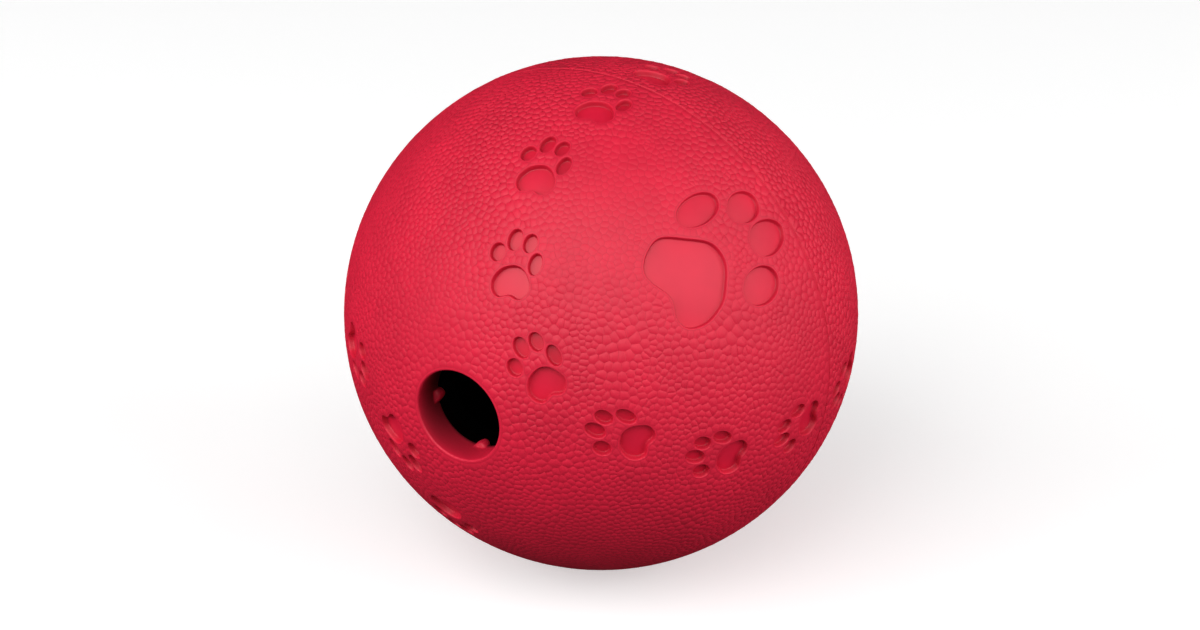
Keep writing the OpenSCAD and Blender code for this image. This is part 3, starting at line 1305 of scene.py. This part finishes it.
@dataclass(frozen=True)
class Throat:
    """The treat hole's wall, with its rounded mouth and the nubs at its inner edge.

    Attributes:
        rim: radius of the mouth's rounding.
        nubs: number of nubs.
        nub_turn: turn of the first nub, in degrees.
        nub_radius: radius of a nub, which is a round post whose middle is in the wall.
        nub_reach: how far a nub stands into the hole.
        columns: number of points round the hole.
        plain: profile of the inner edge between nubs, from the cavity outwards, as
            distance outside the hole's wall and height above the wall's inner edge.
        over_nub: the same rings' profile over the middle of a nub, where distances into
            the hole are shares of the nub's reach.
        wall_start: height above the inner edge from which the wall is plain all round.
        wall_rings: number of rings from there to the mouth's rounding.
        rim_steps: number of steps in which the mouth's rounding turns.
        hollow_shade_turn: turn at which the painted shade on the wall is darkest, in degrees.
        hollow_shade_sides: share of that painted shade, by the cosine of the turn away from there.
        hollow_shade_depths: share of it, by height above the wall's inner edge.
        hollow_shade_edge: painted shade all round the inner edge, by the same height.
        hollow_shade_nubs: share of the painted shade that the nubs keep.
    """

    rim: float = 0.25
    nubs: int = 4
    nub_turn: float = 6.0
    nub_radius: float = 1.05
    nub_reach: float = 0.62
    columns: int = 240
    plain: tuple[tuple[float, float], ...] = (
        (1.4, -0.33), (1.0, -0.22), (0.7, -0.15), (0.4, -0.09), (0.2, -0.05), (0.08, 0.0),
        (0.02, 0.08), (0.0, 0.2), (0.0, 0.4), (0.0, 0.6), (0.0, 0.8), (0.0, 0.95), (0.0, 1.1),
    )
    over_nub: tuple[tuple[float, float], ...] = (
        (1.4, -0.33), (1.0, -0.66), (0.6, -0.88), (-0.6, -0.9), (-0.9, -0.66), (-1.0, -0.26),
        (-1.0, 0.25), (-0.93, 0.5), (-0.76, 0.68), (-0.5, 0.78), (-0.22, 0.82), (-0.06, 0.86), (0.0, 1.04),
    )
    wall_start: float = 1.3
    wall_rings: int = 8
    rim_steps: int = 9
    hollow_shade_turn: float = 150.0
    hollow_shade_sides: Curve = ((-0.9, -0.6, 0.4, 1.0), (0.0, 0.3, 0.75, 1.0))
    hollow_shade_depths: Curve = ((0.94, 1.74, 2.54, 3.34, 4.14, 4.44), (1.0, 0.9, 0.8, 0.62, 0.25, 0.0))
    hollow_shade_edge: Curve = ((0.1, 1.0), (1.0, 0.0))
    hollow_shade_nubs: float = 0.45

    def turns(self) -> np.ndarray:
        """Gives the turns of the columns, in radians."""
        return np.linspace(0.0, 2 * math.pi, self.columns, endpoint=False)

    def nub_share(self, hole: float) -> np.ndarray:
        """Tells how far each column stands in, from 0 between nubs to 1 at a nub's middle.

        A nub is a circle whose middle lies sunk in the wall, so at a sideways distance d
        it stands in by sunk + sqrt(radius^2 - d^2).

        Args:
            hole: radius of the hole.

        Returns:
            The share of the reach for each column.
        """
        step = 2 * math.pi / self.nubs
        turn = self.turns() - math.radians(self.nub_turn)
        away = hole * np.sin((turn + step / 2) % step - step / 2)
        inside = np.abs(away) < self.nub_radius
        bulge = np.sqrt(np.maximum(self.nub_radius**2 - away**2, 0.0))
        sunk = self.nub_reach - self.nub_radius
        return np.where(inside, np.maximum(sunk + bulge, 0.0) / self.nub_reach, 0.0)

    def film(self, throat: np.ndarray, axes: Axes, sizes: BallSizes) -> np.ndarray:
        """Tells how much shade is painted on the wall, from 0 to 1, darkest towards one side.

        It is the greater of the painted shade along the inner edge and the wall's painted shade,
        which is its share by depth times its share by side. Over the nubs it is their share of
        the painted shade by side.

        Args:
            throat: rings of points.
            axes: the half's axes.
            sizes: the ball's sizes.

        Returns:
            Shares for each ring and column.
        """
        height = throat @ axes.up - self.inner_edge(sizes)
        around = np.interp(np.cos(self.turns() - math.radians(self.hollow_shade_turn)), *self.hollow_shade_sides)
        wall = np.interp(height, *self.hollow_shade_depths) * around
        film = np.maximum(wall, np.interp(height, *self.hollow_shade_edge))
        edge_ring = np.arange(len(throat))[:, None] < len(self.plain)
        over_nub = (self.nub_share(sizes.hole) > 0) & edge_ring
        return np.where(over_nub, self.hollow_shade_nubs * around, film)

    @staticmethod
    def inner_edge(sizes: BallSizes) -> float:
        """Gives the height at which the hole's wall would meet the cavity's, sqrt(R^2 - r^2)."""
        return math.sqrt(sizes.cavity**2 - sizes.hole**2)

    def build(self, axes: Axes, sizes: BallSizes) -> np.ndarray:
        """Makes the rings of the throat, from the cavity up to the rounded mouth.

        At the inner edge each column's profile is plain + share (over_nub - plain), with
        the share that nub_share gives it. The mouth is a quarter turn or so of a circle
        that touches both the hole's wall and the ball.

        Args:
            axes: the half's axes.
            sizes: the ball's sizes.

        Returns:
            Rings of points, as an array of rings by columns by 3.
        """
        inner = self.inner_edge(sizes)
        share = self.nub_share(sizes.hole)[None, :, None]
        plain, nub = np.array(self.plain)[:, None, :], np.array(self.over_nub)[:, None, :]
        nub[..., 0] *= np.where(nub[..., 0] < 0, self.nub_reach, 1.0)
        edge = plain + share * (nub - plain) + np.array([sizes.hole, inner])
        turning = sizes.hole + self.rim
        top = math.sqrt((sizes.radius - self.rim) ** 2 - turning**2)
        rise = np.linspace(inner + self.wall_start, top, self.wall_rings)
        wall = np.stack([np.full(self.wall_rings, sizes.hole), rise], 1)
        a = np.linspace(math.pi, math.atan2(top, turning), self.rim_steps + 1)[1:]
        mouth = np.array([turning, top]) + self.rim * np.stack([np.cos(a), np.sin(a)], 1)
        turns = self.turns()
        upper = axes.rings(turns, np.concatenate([wall, mouth]))
        return np.concatenate([axes.rings(turns, edge), upper])


def srgb(hexa: str) -> tuple[float, float, float, float]:
    """Turns an sRGB hex colour into linear light.

    Args:
        hexa: six hex digits.

    Returns:
        Linear red, green, blue and an alpha of 1.
    """
    parts = [int(hexa[k : k + 2], 16) / 255 for k in (0, 2, 4)]
    linear = [p / 12.92 if p <= 0.04045 else ((p + 0.055) / 1.055) ** 2.4 for p in parts]
    return (*linear, 1.0)


def add_node(tree: bpy.types.NodeTree, kind: str, inputs: dict, **settings: object) -> bpy.types.Node:
    """Adds a node to a material.

    Args:
        tree: the material's nodes.
        kind: the node's type.
        inputs: for each socket's name or number its value, or the output that feeds it.
        settings: the node's own settings.

    Returns:
        The node.
    """
    node = tree.nodes.new(kind)
    for key, value in settings.items():
        setattr(node, key, value)
    for key, value in inputs.items():
        if isinstance(value, bpy.types.NodeSocket):
            tree.links.new(value, node.inputs[key])
        else:
            node.inputs[key].default_value = value
    return node


RUBBER_IOR = 1.52
NOISE_RANGE = (0.3, 0.7)  # between these lie nearly all values of Blender's noise


@dataclass(frozen=True)
class RubberFinish:
    """Moulded natural rubber: satin, slightly waxy, with a faint cloud in its colour.

    Attributes:
        name: the material's name.
        colour: sRGB colour of the tops of the pebbles.
        shade_colour: sRGB colour of the painted shade in the grooves and on the prints' walls.
        roughness: middle roughness.
        roughness_spread: how far the roughness wanders either way with the tooth.
        gloss: the specular level.
        cloud: share by which the colour wanders over the surface.
        cloud_size: size of those clouds, in mm.
        cell_spread: share by which the colour differs from pebble to pebble.
        tooth: size of the fine tooth that the mould's blasted steel leaves, in mm. It
            is coarser than real tooth, so that the render can show it.
        tooth_height: height of the tooth, in mm.
        shade_share: how far the colour turns to shade_colour, as painted shade, where the groove trait is
            1.
        shade_start: the groove trait's value from which that painted shade begins.
        film: sRGB colour of the painted shade in the hole and at the prints' walls.
        polished: roughness of the prints' floors, which the mould's smooth steel leaves.
    """

    name: str
    colour: str
    shade_colour: str
    roughness: float
    roughness_spread: float = 0.05
    gloss: float = 0.5
    cloud: float = 0.08
    cloud_size: float = 9.0
    cell_spread: float = 0.03
    tooth: float = 0.16
    tooth_height: float = 0.006
    shade_share: float = 0.0
    shade_start: float = 0.25
    film: str = "42040A"
    polished: float = 0.4

    def material(self) -> bpy.types.Material:
        """Makes the material's nodes.

        Returns:
            The material. Where the finish paints shade, it reads the piece's traits.
        """
        made = bpy.data.materials.new(self.name)
        made.use_nodes = True
        tree = made.node_tree
        tree.nodes.clear()
        place = add_node(tree, "ShaderNodeTexCoord", {}).outputs["Object"]
        cloud, tooth = (
            add_node(
                tree, "ShaderNodeTexNoise",
                {"Vector": place, "Scale": 1 / (size * MM), "Detail": detail, "Roughness": rough},
            ).outputs["Fac"]
            for size, detail, rough in ((self.cloud_size, 3.0, 0.55), (self.tooth, 2.0, 0.6))
        )
        low, high = NOISE_RANGE
        wander, roughness = (
            add_node(
                tree, "ShaderNodeMapRange",
                {"Value": noise, "From Min": low, "From Max": high,
                 "To Min": middle - spread, "To Max": middle + spread},
            ).outputs["Result"]
            for noise, middle, spread in (
                (cloud, 1.0, self.cloud), (tooth, self.roughness, self.roughness_spread),
            )
        )
        colour = add_node(
            tree, "ShaderNodeHueSaturation", {"Color": srgb(self.colour), "Value": wander}
        ).outputs["Color"]
        if self.shade_share:
            traits = {
                trait: add_node(
                    tree, "ShaderNodeAttribute", {}, attribute_name=trait.value
                ).outputs["Fac"]
                for trait in Trait
            }
            colour = self.paint_shade(tree, colour, traits)
            # A Mix node's sockets go by number: 0 is the share, 2 and 3 are the numbers
            # that it mixes, and 6 and 7 the colours.
            roughness = add_node(
                tree, "ShaderNodeMix",
                {0: traits[Trait.POLISH], 2: roughness, 3: self.polished}, data_type="FLOAT",
            ).outputs[0]
        bump = add_node(
            tree, "ShaderNodeBump",
            {"Height": tooth, "Distance": self.tooth_height * MM, "Strength": 1.0},
        ).outputs["Normal"]
        shader = add_node(
            tree, "ShaderNodeBsdfPrincipled",
            {"Base Color": colour, "Roughness": roughness, "Normal": bump,
             "IOR": RUBBER_IOR, "Specular IOR Level": self.gloss},
        ).outputs["BSDF"]
        add_node(tree, "ShaderNodeOutputMaterial", {"Surface": shader})
        return made

    def paint_shade(
        self, tree: bpy.types.NodeTree, colour: bpy.types.NodeSocket,
        traits: dict[Trait, bpy.types.NodeSocket],
    ) -> bpy.types.NodeSocket:
        """Varies the colour from pebble to pebble and paints shade over it in the grooves, on the prints'
        walls and in the hole.

        Args:
            tree: the material's nodes.
            colour: the colour before any shade is painted on.
            traits: the output that reads each trait.

        Returns:
            The output with the new colour.
        """
        shade = add_node(
            tree, "ShaderNodeMapRange",
            {"Value": traits[Trait.CELL],
             "To Min": 1 - self.cell_spread, "To Max": 1 + self.cell_spread},
        ).outputs["Result"]
        colour = add_node(
            tree, "ShaderNodeHueSaturation", {"Color": colour, "Value": shade}
        ).outputs["Color"]
        # Painted shade: the colour turns towards shade_colour by the groove trait, and towards the hollow
        # shade colour by the hollow shade trait
        depth = add_node(
            tree, "ShaderNodeMapRange",
            {"Value": traits[Trait.GROOVE_SHADE], "From Min": self.shade_start, "To Max": self.shade_share},
        ).outputs["Result"]
        for share, over in ((depth, self.shade_colour), (traits[Trait.HOLLOW_SHADE], self.film)):
            colour = add_node(
                tree, "ShaderNodeMix", {0: share, 6: colour, 7: srgb(over)}, data_type="RGBA"
            ).outputs[2]
        return colour


# Pressed between blasted steel moulds, dyed through and never painted. To the eye it is a satin red
# with smoother and glossier floors in the prints; its colour carries painted shade in the grooves, on the
# prints' walls and in the hole.
RED_RUBBER = RubberFinish(
    name="Moulded red natural rubber", colour="DC183A", shade_colour="8C0019",
    roughness=0.55, gloss=0.5, shade_share=0.29,
)
# Cement squeezed out of the joint and buffed down: a thin line, a little duller than the skin.
SEAM_RUBBER = RubberFinish(
    name="Seam line of red rubber", colour="D81C3A", shade_colour="A81430", roughness=0.5, gloss=0.35,
)
# Cut from calendered sheet and matt. The discs are real parts, but their near-black colour is painted
# shade, so the inside of the ball shows black through the hole.
BLACK_RUBBER = RubberFinish(
    name="Pressed black rubber sheet", colour="0B0A0B", shade_colour="050505", roughness=0.7, gloss=0.3,
)
# Brushed on wet and dried: shinier than the rubber, and mottled where it lies thin.
CEMENT = RubberFinish(
    name="Dried rubber cement", colour="2A2422", shade_colour="1A1614", roughness=0.35, cloud=0.2,
)


@dataclass
class ShellHalf:
    """One half of the ball: the wall with its skin, its disc seats and perhaps the hole.

    Attributes:
        name: the piece's name.
        node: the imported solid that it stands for.
        axes: the half's axes.
        sizes: the ball's sizes.
        prints: all prints of the ball.
        seed: start of the skin's random draws.
        throat: the treat hole, or None on the closed half.
        grain: the pebbles.
        mouth: distance from the hole's axis at which the pebbles end.
        band: height above the seam plane at which they end.
        edge_drop: how far the edge at the seam lies below the ball's radius.
        ledge: height of the ledge that holds the outer disc.
        ledge_radius: inside radius of the ledge.
        cement_bed: thickness of the cement between disc and ledge.
        joint_edge: section of the edge at the seam, as distance inside the skin's edge
            and height above the joint face.
        side_steps: number of steps in the cavity's wall below the ledge.
        dome_steps: number of steps in it above the ledge.
        dome_end: height at which it ends round the throat, as a share of its radius.
    """

    name: str
    node: str
    axes: Axes
    sizes: BallSizes
    prints: list[Print]
    seed: int
    throat: Throat | None = None
    grain: Grain = Grain()
    mouth: float = 6.75
    band: float = 0.2
    edge_drop: float = 0.0
    ledge: float = 2.0
    ledge_radius: float = 24.5
    cement_bed: float = 0.3
    joint_edge: tuple[tuple[float, float], ...] = (
        (0.0, 0.15), (0.005, 0.05), (0.04, 0.012), (0.25, 0.0), (1.2, 0.0),
    )
    side_steps: int = 10
    dome_steps: int = 12
    dome_end: float = 0.963

    def lower_profile(self) -> np.ndarray:
        """Gives the profile from the skin's edge over the joint face and up the inside.

        Returns:
            Distance from the axis and height of each ring.
        """
        s = self.sizes
        joint = s.cement / 2
        edge = np.array(self.joint_edge) * [-1, 1] + [s.radius - self.edge_drop, joint]
        seam_disc = s.disc / 2
        seat = np.array([[s.seam_seat, joint], [s.seam_seat, seam_disc]])
        bed = s.seat + s.disc + self.cement_bed
        wall_end = math.sqrt(s.cavity**2 - s.disc_seat**2)
        lower = ball_profile(s.cavity, seam_disc, wall_end, self.side_steps)
        top = bed + self.ledge
        shelf = np.array([[s.disc_seat, bed], [self.ledge_radius, bed], [self.ledge_radius, top]])
        high = s.cavity * self.dome_end if self.throat else s.cavity
        upper = ball_profile(s.cavity, top, high, self.dome_steps)
        return np.concatenate([edge, seat, lower, shelf, upper])

    def build(self) -> Surface:
        """Makes the half as one closed surface.

        The columns of the profile stand at the turns of the skin's points at the seam.
        On the half with the hole, flat bands join the throat to the cavity and the skin.

        Returns:
            The surface.
        """
        skin = Skin(
            self.sizes.radius, self.axes, self.prints, self.grain,
            self.mouth if self.throat else None, self.band, self.seed,
        )
        parts = [skin.build()]
        turns = self.axes.turns(skin.seam_loop)
        profile = self.lower_profile()
        count = len(turns)
        if not self.throat:
            profile = profile[:-1]
        rings = self.axes.rings(turns, profile)
        points = np.concatenate([skin.seam_loop[None], rings]).reshape(-1, 3)
        faces = [grid_faces(len(profile) + 1, count)]
        if self.throat:
            throat = self.throat.build(self.axes, self.sizes)
            wall = Surface.plain(throat.reshape(-1, 3), [grid_faces(len(throat), self.throat.columns)])
            # Painted shade in the hole, darkest towards one side
            wall.traits[:, HOLLOW_SHADE_COLUMN] = self.throat.film(throat, self.axes, self.sizes).reshape(-1)
            parts.append(wall)
            parts.append(self.axes.collar(throat[0], rings[-1], faces_up=False))
            parts.append(self.axes.collar(throat[-1], skin.mouth_loop, faces_up=True))
        else:
            last = len(points) - count + np.arange(count)
            top = np.full(count, len(points))
            faces.append(np.stack([last, top, np.roll(last, -1)], 1))
            points = np.concatenate([points, self.sizes.cavity * self.axes.up[None]])
        parts.append(Surface.plain(points, faces))
        return weld(parts)

    def dress(self, material: bpy.types.Material) -> bpy.types.Object:
        """Makes the piece and ties it to the frame.

        Args:
            material: its finish.

        Returns:
            The piece.
        """
        piece = make_piece(self.name, self.build(), material)
        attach(piece, ROOT)
        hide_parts(self.node)
        return piece


@dataclass
class SeamBead:
    """The thin line of rubber and cement that the halves' joint leaves round the ball.

    Attributes:
        sizes: the ball's sizes.
        columns: number of points round the ball.
        sunk: how far its highest stretches lie below the ball's radius.
        unevenness: how far its edge wanders in and out, in mm.
        waves: how often each of the slow waves in its edge goes round the ball.
        gain: how far the waves' mean is raised, so that it often reaches its limits.
        section: its rounded edge, as distance outside the edge's radius and share of
            half the cement's thickness.
        seed: start of the random draws.
    """

    sizes: BallSizes
    columns: int = 900
    sunk: float = 0.03
    unevenness: float = 0.06
    waves: tuple[int, ...] = (7, 13, 22, 37, 61, 90)
    gain: float = 1.6
    section: tuple[tuple[float, float], ...] = (
        (-0.16, 1.0), (-0.05, 0.9), (-0.012, 0.55), (0.0, 0.0),
        (-0.012, -0.55), (-0.05, -0.9), (-0.16, -1.0),
    )
    seed: int = 5

    def build(self) -> Surface:
        """Makes the bead as a closed ring with a rounded outer edge.

        The edge's radius is R - sunk - unevenness (1 - w) / 2, where w is the waves'
        mean times the gain, held between -1 and 1. The waves are cosines whose lengths
        run from 2.4 mm to 31 mm.

        Returns:
            The ring's surface.
        """
        s = self.sizes
        random = np.random.default_rng(self.seed)
        turns = np.linspace(0.0, 2 * math.pi, self.columns, endpoint=False)
        phase = random.uniform(0, 2 * math.pi, len(self.waves))
        wave = np.cos(np.array(self.waves)[:, None] * turns + phase[:, None]).mean(0) * self.gain
        out = s.radius - self.sunk - self.unevenness * (0.5 - 0.5 * np.clip(wave, -1, 1))
        half = s.cement / 2
        edge = np.repeat(np.array(self.section)[:, None, :] * [1.0, half], self.columns, axis=1)
        edge[..., 0] += out
        inner = np.array([[s.seam_seat, -half], [s.seam_seat, half]])
        inner = np.repeat(inner[:, None, :], self.columns, axis=1)
        profile = np.concatenate([edge, inner, edge[:1]])
        points = Axes((0.0, -1.0, 0.0)).rings(turns, profile).reshape(-1, 3)
        return weld([Surface.plain(points, [grid_faces(len(profile), self.columns)])])

    def dress(self, material: bpy.types.Material) -> bpy.types.Object:
        """Makes the piece and ties it to the frame.

        Args:
            material: its finish.

        Returns:
            The piece.
        """
        piece = make_piece("seam_bead", self.build(), material)
        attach(piece, ROOT)
        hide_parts("seam_cement")
        return piece


@dataclass(frozen=True)
class Labyrinth:
    """The discs inside the ball and their cement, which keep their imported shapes.

    Attributes:
        discs: the discs' nodes.
        cement: the nodes of the cement under them.
    """

    discs: tuple[str, ...] = ("front_disc", "seam_disc", "rear_disc")
    cement: tuple[str, ...] = ("front_disc_cement", "rear_disc_cement")

    def dress(self, disc: bpy.types.Material, cement: bpy.types.Material) -> None:
        """Gives the discs and the cement their finishes.

        Args:
            disc: the discs' finish.
            cement: the cement's finish.
        """
        for names, material in ((self.discs, disc), (self.cement, cement)):
            for name in names:
                for slot in frame["nodes"][name].material_slots:
                    slot.material = material
                LOG.info("%s: %s", name, material.name)


def backward(azimuth: float, elevation: float) -> np.ndarray:
    """Gives the unit vector from the ball to a viewer at an azimuth and elevation, in degrees."""
    a, e = math.radians(azimuth), math.radians(elevation)
    return np.array([math.sin(a) * math.cos(e), -math.cos(a) * math.cos(e), math.sin(e)])


@dataclass(frozen=True)
class SoftBox:
    """A square studio light.

    Attributes:
        name: the light's name.
        azimuth: direction it stands in, in degrees as for the camera.
        elevation: how high it stands, in degrees.
        distance: distance from the ball, in mm.
        size: length of its side, in mm.
        power: in watts.
        fills: whether it lights the rubber's own colour.
        shines: whether it shows in glossy reflections.
    """

    name: str
    azimuth: float
    elevation: float
    distance: float
    size: float
    power: float
    fills: bool = True
    shines: bool = True

    def hang(self) -> None:
        """Hangs the light in its place, facing the ball."""
        light = bpy.data.lights.new(self.name, "AREA")
        light.shape, light.size, light.energy = "SQUARE", self.size * MM, self.power
        way = Vector(backward(self.azimuth, self.elevation))
        lamp = bpy.data.objects.new(self.name, light)
        lamp.location = way * self.distance * MM
        lamp.rotation_euler = way.to_track_quat("Z", "Y").to_euler()
        lamp.visible_diffuse = self.fills
        lamp.visible_glossy = self.shines
        bpy.context.scene.collection.objects.link(lamp)


@dataclass(frozen=True)
class Studio:
    """A plain white floor, soft lights and the camera at the photograph's viewing angle.

    Attributes:
        azimuth: where the camera stands, in degrees from the hole's axis.
        elevation: how high it stands, in degrees.
        distance: distance from the ball's middle, in mm.
        lens: focal length on a 36 mm wide frame, in mm.
        aim_right: how far right of the ball's middle it looks, in mm.
        aim_up: how far above the ball's middle it looks, in mm.
        floor: half the floor's side, in mm.
        boxes: the lights.
        fill: strength of the white surroundings.
        paper: how much light the background paper throws back, from 0 to 1.
        paper_roughness: its roughness.
        glow: light that comes through the background paper, which is lit from below.
    """

    azimuth: float = 31.788
    elevation: float = 26.405
    distance: float = 348.0
    lens: float = 76.3
    aim_right: float = -0.14
    aim_up: float = -0.25
    floor: float = 3000.0
    boxes: tuple[SoftBox, ...] = (
        SoftBox("Right box", azimuth=95, elevation=15, distance=900, size=800, power=5.4, shines=False),
        SoftBox("Left box", azimuth=-45, elevation=15, distance=900, size=800, power=4.8, shines=False),
        SoftBox("Upper left box", azimuth=-10, elevation=42, distance=900, size=800, power=3.6),
        SoftBox("Upper right box", azimuth=25, elevation=42, distance=900, size=800, power=2.8),
        SoftBox("Rear box", azimuth=130, elevation=20, distance=900, size=800, power=1.9, shines=False),
        SoftBox("Right haze", azimuth=75, elevation=40, distance=900, size=600, power=1.4, fills=False),
        SoftBox("Rear haze", azimuth=122, elevation=36, distance=900, size=400, power=0.4, fills=False),
    )
    fill: float = 0.11
    paper: float = 0.8
    paper_roughness: float = 0.9
    glow: float = 0.42

    def set_up(self, ground: float) -> None:
        """Makes the floor, the lights, the surroundings and the camera.

        Args:
            ground: height of the floor, in mm.
        """
        bpy.context.scene.view_settings.view_transform = "Standard"
        self.lay_paper(ground)
        for box in self.boxes:
            box.hang()
        self.surround()
        self.place_camera()

    def lay_paper(self, ground: float) -> None:
        """Lays a square of white background paper under the ball.

        Args:
            ground: its height, in mm.
        """
        half, z = self.floor * MM, ground * MM
        mesh = bpy.data.meshes.new("studio_floor")
        corners = [(-half, -half, z), (half, -half, z), (half, half, z), (-half, half, z)]
        mesh.from_pydata(corners, [], [(0, 1, 2, 3)])
        floor = bpy.data.objects.new("studio_floor", mesh)
        bpy.context.scene.collection.objects.link(floor)
        paper = bpy.data.materials.new("White background paper")
        paper.use_nodes = True
        shader = paper.node_tree.nodes["Principled BSDF"]
        shader.inputs["Base Color"].default_value = (self.paper, self.paper, self.paper, 1.0)
        shader.inputs["Roughness"].default_value = self.paper_roughness
        shader.inputs["Emission Color"].default_value = (1.0, 1.0, 1.0, 1.0)
        shader.inputs["Emission Strength"].default_value = self.glow
        mesh.materials.append(paper)
        floor.visible_diffuse = False
        floor.visible_glossy = False

    def surround(self) -> None:
        """Fills the room with a faint white light that shows in no reflection."""
        world = bpy.data.worlds.new("White studio")
        bpy.context.scene.world = world
        world.use_nodes = True
        room = world.node_tree.nodes["Background"]
        room.inputs["Color"].default_value = (1.0, 1.0, 1.0, 1.0)
        room.inputs["Strength"].default_value = self.fill
        world.cycles_visibility.glossy = False

    def place_camera(self) -> None:
        """Sets the camera up where the photograph's stood."""
        back = backward(self.azimuth, self.elevation)
        turn = math.radians(self.azimuth)
        right = np.array([math.cos(turn), math.sin(turn), 0.0])
        aim = self.aim_right * right + self.aim_up * np.cross(back, right)
        camera = bpy.data.objects.new("Camera", bpy.data.cameras.new("Camera"))
        camera.data.lens = self.lens
        camera.data.sensor_width = FRAME_WIDTH
        camera.data.clip_start = NEAREST
        camera.location = Vector((aim + back * self.distance) * MM)
        camera.rotation_euler = Vector(back).to_track_quat("Z", "Y").to_euler()
        bpy.context.scene.collection.objects.link(camera)
        bpy.context.scene.camera = camera


def main() -> None:
    """Builds the ball, dresses it and sets up the studio."""
    logging.basicConfig(level=logging.INFO, format="%(message)s")
    sizes = BallSizes.from_frame()
    trail = Trail()
    prints = trail.small_prints(sizes.radius) + trail.large_prints(sizes.radius)
    red = RED_RUBBER.material()
    front = ShellHalf(
        "front_half", "front_shell", Axes((0.0, -1.0, 0.0)), sizes, prints, seed=11, throat=Throat()
    )
    rear = ShellHalf(
        "rear_half", "rear_shell", Axes((0.0, 1.0, 0.0)), sizes, prints, seed=12,
        grain=Grain(groove=0.095, crown=0.04), edge_drop=0.06,
    )
    front.dress(red)
    rear.dress(red)
    SeamBead(sizes).dress(SEAM_RUBBER.material())
    Labyrinth().dress(BLACK_RUBBER.material(), CEMENT.material())
    Studio().set_up(ground=-sizes.radius - sizes.proud)


if __name__ == "__main__":
    main()
